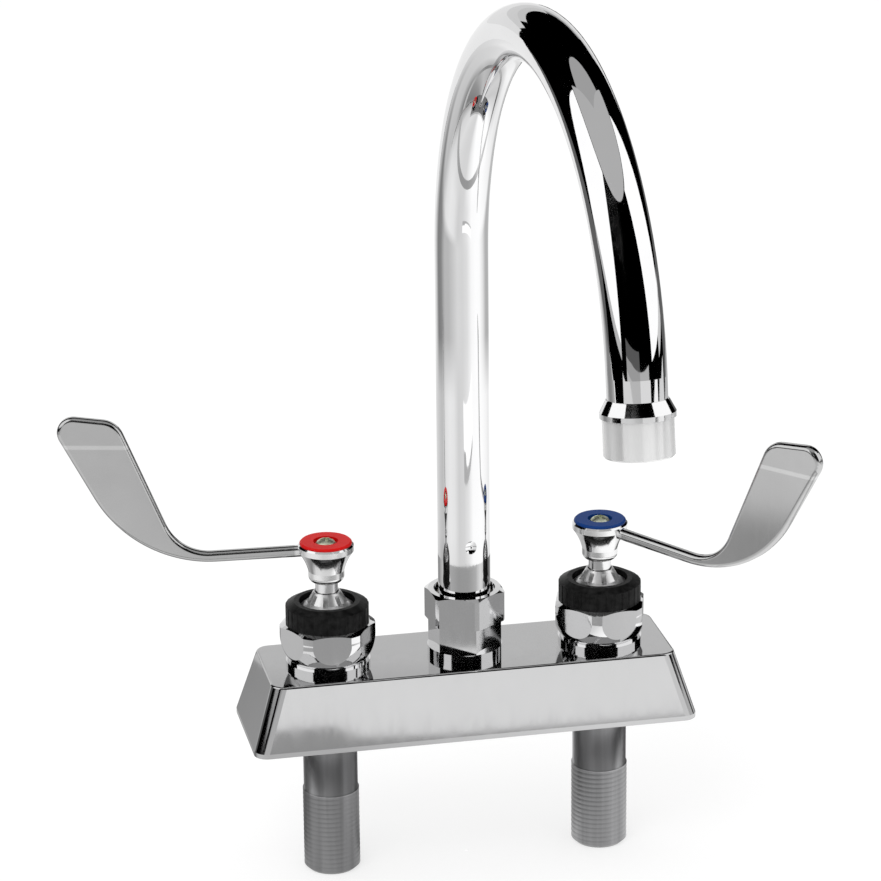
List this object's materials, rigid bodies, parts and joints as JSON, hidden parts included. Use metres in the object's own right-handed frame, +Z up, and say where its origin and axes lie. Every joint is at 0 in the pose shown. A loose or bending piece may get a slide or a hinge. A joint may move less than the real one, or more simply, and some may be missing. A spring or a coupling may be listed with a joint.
{
  "type": "deck-mounted gooseneck tap",
  "caption": "Deck-mounted gooseneck tap on 4 inch centres with quarter-turn wrist-blade handles, a swivelling spout, an aerator and threaded inlet shanks.",
  "frame": {"origin": "centre of the base's underside, in the deck plane, midway between the two inlet shanks", "axes": "+Z up out of the deck, -Y to the front where the spout reaches, the hot side at -X and the cold side at +X"},
  "size_m": [0.2557, 0.233, 0.3403],
  "materials": {
    "base_chrome": "satin-polished chrome plate",
    "chrome": "polished chrome plate",
    "tube_chrome": "polished chrome plate on a drawn tube",
    "satin_handle": "satin chrome plate",
    "shank_brass": "matte plated threaded pipe",
    "black_plastic": "black moulded plastic",
    "hot_index": "glossy red plastic",
    "cold_index": "glossy blue plastic",
    "brass_screw": "bright brass with a thin plating",
    "brass": "machined brass",
    "ceramic": "ground ceramic",
    "rubber": "black rubber",
    "slip_plastic": "white low-friction plastic",
    "screen_plastic": "pale grey plastic"
  },
  "bodies": {
    "fixed_body": {"base_body": "base_chrome", "spout_post": "chrome", "spout_nut": "chrome", "lower_swivel_washer": "slip_plastic", "upper_swivel_washer": "slip_plastic", "hot_shank": "shank_brass", "hot_bonnet": "chrome", "hot_bonnet_joint_ring": "rubber", "hot_grip_ring": "black_plastic", "hot_gland": "chrome", "hot_packing": "slip_plastic", "hot_cartridge": "brass", "hot_seat_seal": "rubber", "hot_fixed_disc": "ceramic", "cold_shank": "shank_brass", "cold_bonnet": "chrome", "cold_bonnet_joint_ring": "rubber", "cold_grip_ring": "black_plastic", "cold_gland": "chrome", "cold_packing": "slip_plastic", "cold_cartridge": "brass", "cold_seat_seal": "rubber", "cold_fixed_disc": "ceramic"},
    "spout": {"spout_tube": "tube_chrome", "spout_ferrule": "brass", "spout_seal_rings": "rubber", "swivel_collar": "brass", "outlet_collar": "chrome", "aerator_housing": "chrome", "aerator_washer": "rubber", "aerator_insert": "screen_plastic"},
    "hot_handle": {"hot_wrist_handle": "satin_handle", "hot_stem": "chrome", "hot_turning_disc": "ceramic", "hot_stem_seal_ring": "rubber", "hot_index_ring": "hot_index", "hot_handle_screw": "brass_screw"},
    "cold_handle": {"cold_wrist_handle": "satin_handle", "cold_stem": "chrome", "cold_turning_disc": "ceramic", "cold_stem_seal_ring": "rubber", "cold_index_ring": "cold_index", "cold_handle_screw": "brass_screw"}
  },
  "joints": [
    {"name": "spout_swivel", "type": "hinge", "parent": "fixed_body", "child": "spout", "pos_m": [0, 0, 0.045], "axis": [0, 0, 1], "continuous": true},
    {"name": "hot_turn", "type": "hinge", "parent": "fixed_body", "child": "hot_handle", "pos_m": [-0.0508, 0, 0.065], "axis": [0, 0, 1], "range_deg": [0, 90]},
    {"name": "cold_turn", "type": "hinge", "parent": "fixed_body", "child": "cold_handle", "pos_m": [0.0508, 0, 0.065], "axis": [0, 0, 1], "range_deg": [-39.4, 50.6]}
  ]
}
